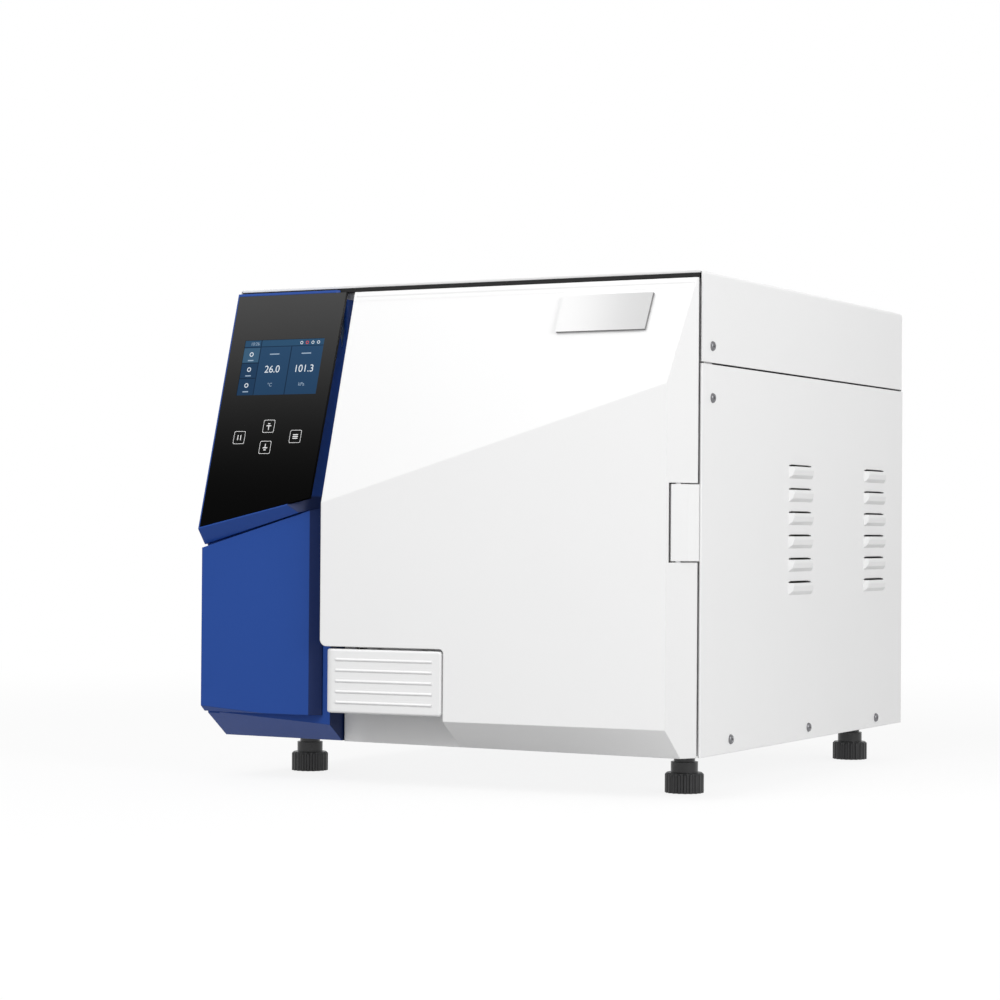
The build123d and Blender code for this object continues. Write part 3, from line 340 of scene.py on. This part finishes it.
steel, place = finish("turned_stainless", (0.60, 0.60, 0.59), 0.25, 1.0)
right, _, up = axes(place)
dx, dz = right - chamber_x, up - chamber_z
ring = (dx * dx + dz * dz).maths("SQRT")
turning = (ring * rings_per_metre).maths("SINE") * 0.5 + 0.5
give(steel, Base_Color=noise(place, 14.0, 3.0).mix((0.56, 0.56, 0.55), (0.66, 0.66, 0.65)),
     Roughness=turning * 0.10 + noise(place, 30.0, 3.0) * 0.12 + 0.14,
     Normal=relief(turning, 0.000006, 0.0005))
dress(steel, "chamber", "chamber_flange", "pressure_door")

# Trays, rack and brackets
# Brushed stainless sheet, with the brush lines running from front to rear.
brushed, place = finish("brushed_stainless", (0.58, 0.58, 0.57), 0.3, 1.0)
lines = noise(place, 260.0, 4.0, (8, 0.12, 8))
give(brushed, Base_Color=lines.mix((0.52, 0.52, 0.51), (0.68, 0.68, 0.67)), Roughness=lines * 0.22 + 0.2,
     Normal=relief(lines, 0.00003, 0.0005))
dress(brushed, "tray_rack", "trays", "cross_arm", "handle_bracket", "latch_bolt", "strike_plate")

# Pins and studs
# Ground and polished steel, a little darker where it is handled least.
bright, place = finish("polished_pin", (0.72, 0.72, 0.73), 0.12, 1.0)
give(bright, Roughness=noise(place, 200.0, 3.0) * 0.15 + 0.06,
     Normal=relief(noise(place, 1200.0), 0.00001, 0.0003))
dress(bright, "hinge_pin", "handle_pins", "flap_pins", "centre_stud", "lock_pin")

# Insulation
# A jacket of pressed mineral felt, held round the chamber.
felt, place = finish("mineral_felt", (0.52, 0.49, 0.40), 0.95)
fibre = noise(place, 500.0, 5.0, (1, 3, 1))
give(felt, Base_Color=fibre.mix((0.42, 0.39, 0.31), (0.62, 0.59, 0.50)), Normal=relief(fibre, 0.0008))
dress(felt, "insulation_jacket")

# Cast and machined aluminium
# The pump, the steam generator, the cradle and the hinge block, with a fine cast grain.
cast, place = finish("cast_aluminium", (0.60, 0.61, 0.62), 0.45, 0.95)
give(cast, Roughness=noise(place, 260.0, 3.0) * 0.3 + 0.3,
     Normal=relief(noise(place, 1100.0, 3.0), 0.00006, 0.0008),
     Base_Color=noise(place, 40.0).mix((0.52, 0.53, 0.54), (0.66, 0.67, 0.68)))
dress(cast, "vacuum_pump", "steam_generator", "chamber_cradle", "hinge_bracket")

# Tanks and filler well
# Natural moulded plastic, slightly milky, that lets a little light through.
milky, place = finish("tank_natural", (0.78, 0.80, 0.79), 0.4, Subsurface_Weight=0.15,
                      Subsurface_Scale=0.01)
give(milky, Base_Color=noise(place, 9.0).mix((0.74, 0.76, 0.75), (0.82, 0.84, 0.83)),
     Normal=relief(noise(place, 500.0), 0.00004, 0.001))
dress(milky, "water_tank", "waste_tank", "filler_frame", "air_filter")

# Black fittings
# Moulded black plastic: fan, inlet, rocker, fuse caps, latch guide and lock motor.
black, place = finish("moulded_black", (0.02, 0.02, 0.022), 0.45)
give(black, Roughness=noise(place, 300.0, 3.0) * 0.25 + 0.35,
     Normal=relief(noise(place, 1600.0), 0.00004, 0.0005),
     Base_Color=noise(place, 50.0).mix((0.016, 0.016, 0.018), (0.028, 0.028, 0.030)))
dress(black, "fan_frame", "fan_rotor", "mains_inlet", "switch_frame", "mains_rocker", "fuse_holders",
      "latch_guide", "lock_motor")

# Brass fittings
# Turned brass, dulled a little by handling: hose spigots, couplings and foot bushes.
brass, place = finish("turned_brass", (0.62, 0.44, 0.18), 0.3, 1.0)
give(brass, Base_Color=noise(place, 60.0, 3.0).mix((0.50, 0.35, 0.13), (0.68, 0.50, 0.22)),
     Roughness=noise(place, 90.0, 3.0) * 0.25 + 0.2,
     Normal=relief(noise(place, 900.0, 2.0, (1, 8, 1)), 0.00001, 0.0003))
dress(brass, "hose_barbs", "drain_couplings", "foot_bushes")

# Control board
# Green laminate with copper tracks under the varnish.
board, place = finish("board_green", (0.01, 0.09, 0.035), 0.35)
tracks = place.node("TexBrick", {}, {"Vector": place, "Scale": 160.0, "Mortar Size": 0.04}, 1)
give(board, Base_Color=tracks.mix((0.01, 0.10, 0.04), (0.02, 0.17, 0.07)),
     Normal=relief(tracks, 0.00003, 0.0004))
dress(board, "control_board")

# Door mouldings
# The door's shell, its inner cover, the hinge cap and the filler lid: white plastic, moulded with a
# faint spark-eroded grain and soft edges. Facets that turn half to the right are painted a little
# greyer, as painted shade.
door_white, place = finish("door_moulding_white", (0.88, 0.88, 0.88), 0.36, Specular_IOR_Level=0.35)
cloud = noise(place, 4.0, 2.0)


def facing(place):
    """The x, y and z of the direction that the surface faces, in the piece's own axes."""
    return axes(place.node("TexCoord", {}, {}, 1))


facing_right = facing(place)[0]
# Painted shade: facets that turn half to the right are made greyer.
painted_shade_bevel = facing_right.step(0.25, 0.45) * (1 - facing_right.step(0.85, 0.95))
white = cloud.mix((0.87, 0.87, 0.87), (0.90, 0.90, 0.90))
give(door_white, Base_Color=painted_shade_bevel.mix(white, (0.80, 0.80, 0.80)), Roughness=cloud * 0.06 + 0.33,
     Normal=relief(noise(place, 1300.0, 2.0), 0.00001, 0.0012))
dress(door_white, "door_shell", "door_liner", "hinge_cover", "filler_lid")

# Door head
# A band along the door's top edge, in the plane of its leaning face and round its right bevel. It
# closes the gap over the inner cover's upper edge.
lean = radians(15.88)
lean_rise, lean_run = sin(lean), cos(lean)


def leaning(height, out):
    """The y of a plane that leans back with height, d out along its normal: (h sin a - d) / cos a."""
    return (height * lean_rise - out) / lean_run


band_low, band_high, band_left, band_right = 0.4205, 0.42875, -0.1044, 0.22645
band_out, band_rear = 0.32662, -0.2161
bevel_start_x, bevel_start_z, bevel_spread = 0.2231, 0.4215, 0.28
level = np.linspace(band_low, band_high, 6)[:, None]
bevel_x = bevel_start_x + (level - bevel_start_z) * bevel_spread
edge_x = np.concatenate([level * 0 + band_left, bevel_x, level * 0 + band_right], 1)
face_y = leaning(level, band_out)
edge_y = np.concatenate([face_y, face_y, level * 0 + band_rear], 1)
band_mesh = sheet_mesh("door_head_band", edge_x, edge_y, level + edge_x * 0, flip=True)
band = piece("door_head_band", band_mesh, door_white, False)
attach(band, "door")

# Door handle
# The same white plastic, a touch greyer, with moulded grip ribs across it.
handle_white, place = finish("handle_moulding_white", (0.87, 0.87, 0.87), 0.38, Specular_IOR_Level=0.35)
give(handle_white, Base_Color=noise(place, 12.0).mix((0.855, 0.855, 0.855), (0.885, 0.885, 0.885)),
     Normal=relief(noise(place, 1300.0, 2.0), 0.00001, 0.0010))
dress(handle_white, "door_handle")

# Bare plate
# A raised plate of satin grey plastic at the door's upper right. Its face has a painted sheen that
# darkens to the right, and its lower and right edges are dark with painted shade.
satin, place = finish("plate_satin", (0.66, 0.66, 0.66), 0.45, Specular_IOR_Level=0.3)
plate_left, plate_right = 0.105, 0.185
facing_right, _, facing_up = facing(place)
# Painted sheen: the face is lighter on the left and darkens to the right.
painted_sheen_face = axes(place)[0].step(plate_left, plate_right).mix((0.86, 0.86, 0.86), (0.62, 0.62, 0.62))
# Painted shade: facets that face right or down are made dark.
edge = facing_right.maths("MAXIMUM", facing_up * -1.0).step(0.5, 0.8)
give(satin, Base_Color=edge.mix(painted_sheen_face, (0.22, 0.22, 0.22)), Roughness=noise(place, 200.0) * 0.1 + 0.4)
dress(satin, "badge_plate")

# Door seal
# A ring of red-brown silicone, matt, with a faint bloom.
seal, place = finish("silicone_seal", (0.42, 0.10, 0.05), 0.6)
give(seal, Base_Color=noise(place, 30.0, 3.0).mix((0.38, 0.085, 0.04), (0.50, 0.14, 0.08)),
     Normal=relief(noise(place, 700.0), 0.00005, 0.0008))
dress(seal, "door_gasket")

# Control housing and service flap
# Blue mouldings, painted and half gloss. Facets that turn to the right get painted shade, a navy
# tone, but for a rim beside the glass, which is blue like the front.
blue, place = finish("housing_blue", (0.018, 0.068, 0.31), 0.34, Specular_IOR_Level=0.15)
cloud = noise(place, 8.0, 3.0)
right, _, up = axes(place)
rim = (1 - right.step(-0.1100, -0.1094)) * up.step(0.2475, 0.2500)
# Painted shade: facets that turn to the right are navy, except the rim beside the glass.
painted_shade_facets = facing(place)[0].step(0.35, 0.6) * (1 - rim)
plain = cloud.mix((0.018, 0.066, 0.30), (0.021, 0.073, 0.325))
give(blue, Base_Color=painted_shade_facets.mix(plain, (0.012, 0.026, 0.105)), Roughness=cloud * 0.08 + 0.30,
     Normal=relief(noise(place, 1200.0, 2.0), 0.000012, 0.0009))
dress(blue, "control_housing", "service_flap")

# Flap hinge covers
# Two small skins close the flap's front face over the hinge pins at its left edge. They lie in the
# flap's plane, which is turned a little to the right: y = (x sin a - d) / cos a.
turn_sin, turn_cos, skin_out = 0.0887, 0.99606, 0.24945
skin_left, skin_right, skin_half, pivot_levels = -0.22845, -0.2185, 0.009, (0.090, 0.170)
for number, pivot_z in enumerate(pivot_levels, 1):
    name = f"flap_hinge_cover_{number}"
    x, z = np.meshgrid(np.linspace(skin_left, skin_right, 5),
                       np.linspace(pivot_z - skin_half, pivot_z + skin_half, 5), indexing="ij")
    skin = piece(name, sheet_mesh(name, x, (turn_sin * x - skin_out) / turn_cos, z), blue, False)
    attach(skin, "flap")

# Control glass
# Black back-printed glass on the leaning field. It is glossier towards the top, and greyer there as a painted
# reflection.
glass, place = finish("black_glass", (0.01, 0.01, 0.011), 0.06, Specular_IOR_Level=0.0, Coat_Roughness=0.05)
painted_reflection_and_gloss = axes(place)[2].step(0.20, 0.47)
painted_reflection_and_gloss = painted_reflection_and_gloss * painted_reflection_and_gloss
# Painted reflection: the base colour turns greyer towards the top, where the coat also grows.
give(glass, Base_Color=painted_reflection_and_gloss.mix((0.002, 0.002, 0.002), (0.035, 0.035, 0.035)),
     Coat_Weight=painted_reflection_and_gloss * 0.95 + 0.03, Roughness=noise(place, 20.0) * 0.03 + 0.05)
dress(glass, "control_glass")

# Touch keys
# Four keys printed in white on the glass: a rounded square frame with a plain mark in each.
print_white, place = finish("print_white", (0.85, 0.85, 0.85), 0.5, Specular_IOR_Level=0.1)
give(print_white, Roughness=noise(place, 400.0) * 0.1 + 0.45)
print_out, key_half, key_line = 0.32705, 0.0059, 0.00038


def ring_mesh(name, x, z, half, line, out, power):
    """A flat frame on the leaning plane: superellipses |u|^p + |v|^p = 1 at two half widths."""
    size, angle = np.meshgrid([half, half - line], np.linspace(0, 2 * pi, 64, endpoint=False), indexing="ij")
    c, d = np.cos(angle), np.sin(angle)
    reach = size / (np.abs(c) ** power + np.abs(d) ** power) ** (1 / power)
    up = z + reach * d * lean_run
    return sheet_mesh(name, x + reach * c, leaning(up, out), up, True, True)


def field_mesh(name, x0, x1, z0, z1, out):
    """A flat rectangle on the leaning plane, on a grid of two by two."""
    across, up = np.meshgrid([x0, x1], [z0, z1], indexing="ij")
    return sheet_mesh(name, across, leaning(up, out), up)


def printed(made):
    """Fixes a printed or lit mark to the cabinet."""
    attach(made, "cabinet")


# Each key's place, then its bars: their middles from the key's, and their half widths and heights.
thin = 0.0004
keys = [((-0.1715, 0.3104), [(0, 0.0022, 0.0012, thin), (0, thin, 0.0024, thin), (0, -0.0016, thin, 0.0016)]),
        ((-0.2009, 0.3006), [(-0.0015, 0, thin, 0.0022), (0.0015, 0, thin, 0.0022)]),
        ((-0.1419, 0.3010), [(0, 0.0016, 0.0026, thin), (0, 0, 0.0026, thin), (0, -0.0016, 0.0026, thin)]),
        ((-0.1718, 0.2916), [(0, -0.0022, 0.0012, thin), (0, -thin, 0.0024, thin),
                             (0, 0.0016, thin, 0.0016)])]
for number, ((x, z), bars) in enumerate(keys, 1):
    name = f"key_frame_{number}"
    frame_mesh = ring_mesh(name, x, z, key_half, key_line, print_out, 12.0)
    printed(piece(name, frame_mesh, print_white, False))
    for count, (dx, dz, wide, high) in enumerate(bars, 1):
        name = f"key_mark_{number}_{count}"
        bar_mesh = field_mesh(name, x + dx - wide, x + dx + wide, z + dz - high, z + dz + high, print_out)
        printed(piece(name, bar_mesh, print_white, False))

# Display
# A lit panel in the glass's window, in flat dark blue fields: a head line, three tiles on the left and
# two readings. Its marks and numbers are thin lit shapes that lie just over the panel. Places on it
# are shares of its width and height, from its lower left corner.
screen_x0, screen_x1, screen_z0, screen_z1 = -0.2120, -0.1283, 0.3386, 0.3882
screen_out = 0.32662
display, place = finish("display_face", (0.002, 0.006, 0.010), 0.3, Specular_IOR_Level=0.05,
                        Emission_Strength=0.92)
right, _, up = axes(place)
tall = (up - screen_z0) / (screen_z1 - screen_z0)
wide = (right - screen_x0) / (screen_x1 - screen_x0)


def between(value, low, high, soft=0.004):
    """1 between two shares of the screen and 0 outside, with narrow soft edges."""
    return value.step(low - soft, low) * (1 - value.step(high, high + soft))


field = tall.mix((0.013, 0.048, 0.115), (0.018, 0.060, 0.135))
side_column = 1 - wide.step(0.205, 0.209)
tile = side_column * between(tall, 0.60, 0.86)
tile_lines = side_column * (between(tall, 0.58, 0.595) + between(tall, 0.30, 0.315))
reading_line = between(wide, 0.597, 0.605) * (1 - tall.step(0.87, 0.88))
lines = between(wide, 0.205, 0.213) + between(tall, 0.875, 0.885) + tile_lines + reading_line
lines = lines.maths("MINIMUM", 1.0)
head = tall.step(0.88, 0.885)
colour = side_column.mix(field, (0.010, 0.038, 0.095))
colour = tile.mix(colour, (0.040, 0.105, 0.185))
colour = head.mix(colour, (0.020, 0.070, 0.145))
colour = lines.mix(colour, (0.003, 0.016, 0.045))
give(display, Emission_Color=colour, Base_Color=tall.mix((0.002, 0.006, 0.010), (0.004, 0.010, 0.016)))
dress(display, "display")


def lit(name, colour, low, high):
    """The finish of a lit mark, between two colours."""
    material, place = finish(name, colour, 0.5, Specular_IOR_Level=0.1, Emission_Strength=1.0)
    give(material, Emission_Color=noise(place, 40.0).mix(low, high))
    return material


lit_white = lit("screen_white", (0.05, 0.05, 0.05), (0.66, 0.72, 0.78), (0.74, 0.79, 0.84))
lit_dim = lit("screen_dim", (0.05, 0.05, 0.05), (0.24, 0.34, 0.46), (0.30, 0.40, 0.52))
lit_red = lit("screen_red", (0.05, 0.01, 0.01), (0.60, 0.05, 0.05), (0.70, 0.08, 0.08))


def on_screen(u, v):
    """The x and height of a place on the screen, from its shares of the width and of the height."""
    return screen_x0 + u * (screen_x1 - screen_x0), screen_z0 + v * (screen_z1 - screen_z0)


left_reading, right_reading, head_line, tile_middle = 0.40, 0.80, 0.935, 0.105
texts = [("reading_temperature", "26.0", 0.0095, left_reading, 0.46, lit_white),
         ("reading_pressure", "101.3", 0.0095, right_reading, 0.46, lit_white),
         ("unit_temperature", "\u00b0C", 0.0046, left_reading, 0.18, lit_dim),
         ("unit_pressure", "kPa", 0.0046, right_reading, 0.18, lit_dim),
         ("clock", "10:26", 0.0042, 0.13, head_line, lit_dim)]
for name, words, size, u, v, material in texts:
    curve = bpy.data.curves.new(name, "FONT")
    curve.body, curve.size, curve.align_x, curve.align_y = words, size, "CENTER", "CENTER"
    source = bpy.data.objects.new(name + "_curve", curve)
    mesh = bpy.data.meshes.new_from_object(source)
    bpy.data.objects.remove(source)
    flat = np.empty(len(mesh.vertices) * 3)
    mesh.vertices.foreach_get("co", flat)
    flat = flat.reshape(-1, 3)
    x, z = on_screen(u, v)
    up = z + flat[:, 1] * lean_run
    mesh.vertices.foreach_set("co", np.stack([x + flat[:, 0], leaning(up, screen_out), up], -1).ravel())
    mesh.update()
    printed(piece(name, mesh, material, False))
icons = [(tile_middle, 0.745, 0.0021, lit_white), (tile_middle, 0.47, 0.0021, lit_white),
         (tile_middle, 0.18, 0.0021, lit_white), (0.72, head_line, 0.0015, lit_white),
         (0.79, head_line, 0.0015, lit_red), (0.86, head_line, 0.0015, lit_white),
         (0.93, head_line, 0.0015, lit_white)]
for number, (u, v, half, material) in enumerate(icons, 1):
    x, z = on_screen(u, v)
    name = f"screen_icon_{number}"
    icon_mesh = ring_mesh(name, x, z, half, half * 0.36, screen_out, 2.0)
    printed(piece(name, icon_mesh, material, False))
caption_half = 0.0005
captions = [(tile_middle, 0.635, 0.0030), (tile_middle, 0.355, 0.0030), (tile_middle, 0.065, 0.0030),
            (left_reading, 0.74, 0.0050), (right_reading, 0.74, 0.0050)]
for number, (u, v, half) in enumerate(captions, 1):
    x, z = on_screen(u, v)
    name = f"screen_bar_{number}"
    caption_mesh = field_mesh(name, x - half, x + half, z - caption_half, z + caption_half, screen_out)
    printed(piece(name, caption_mesh, lit_dim, False))

low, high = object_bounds()
